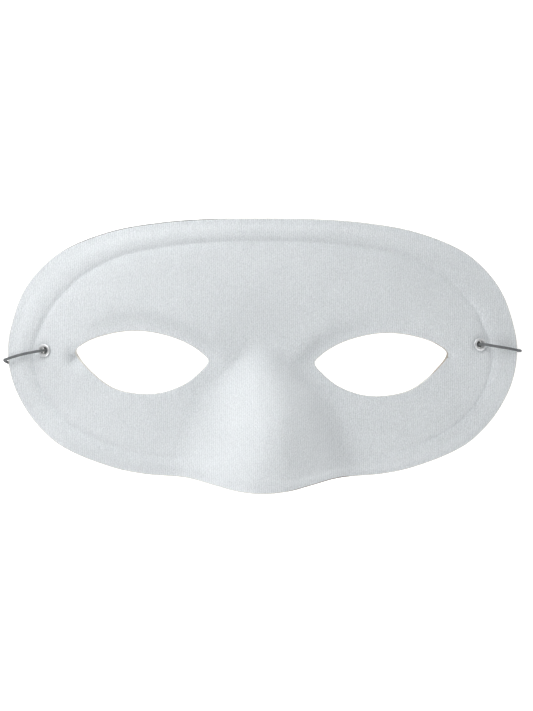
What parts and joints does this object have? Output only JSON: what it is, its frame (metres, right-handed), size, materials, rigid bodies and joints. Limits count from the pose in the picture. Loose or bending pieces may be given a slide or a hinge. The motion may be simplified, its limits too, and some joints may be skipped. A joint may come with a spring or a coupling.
{
  "type": "domino mask",
  "caption": "Moulded fabric half-face mask with eye holes, a raised nose and a ribbed rim, two metal eyelets and a knotted elastic cord, lying on its back.",
  "frame": {"origin": "bottom centre of the mask's box without its cord: the middle of the face on the surface that the rim rests on", "axes": "+X across the face to the viewer's right, +Y up the face to the forehead, +Z out of the face and away from the surface"},
  "size_m": [0.1932, 0.102, 0.0601],
  "materials": {
    "moulded_fabric": "white ribbed knit fabric moulded over a stiff backing, matt",
    "eyelet_metal": "bright silver",
    "elastic": "grey round braided elastic, matt"
  },
  "bodies": {
    "root": {"mask_shell": "moulded_fabric", "eyelet_left": "eyelet_metal", "eyelet_right": "eyelet_metal", "elastic_cord": "elastic", "knot_left": "elastic", "knot_right": "elastic"}
  },
  "joints": []
}
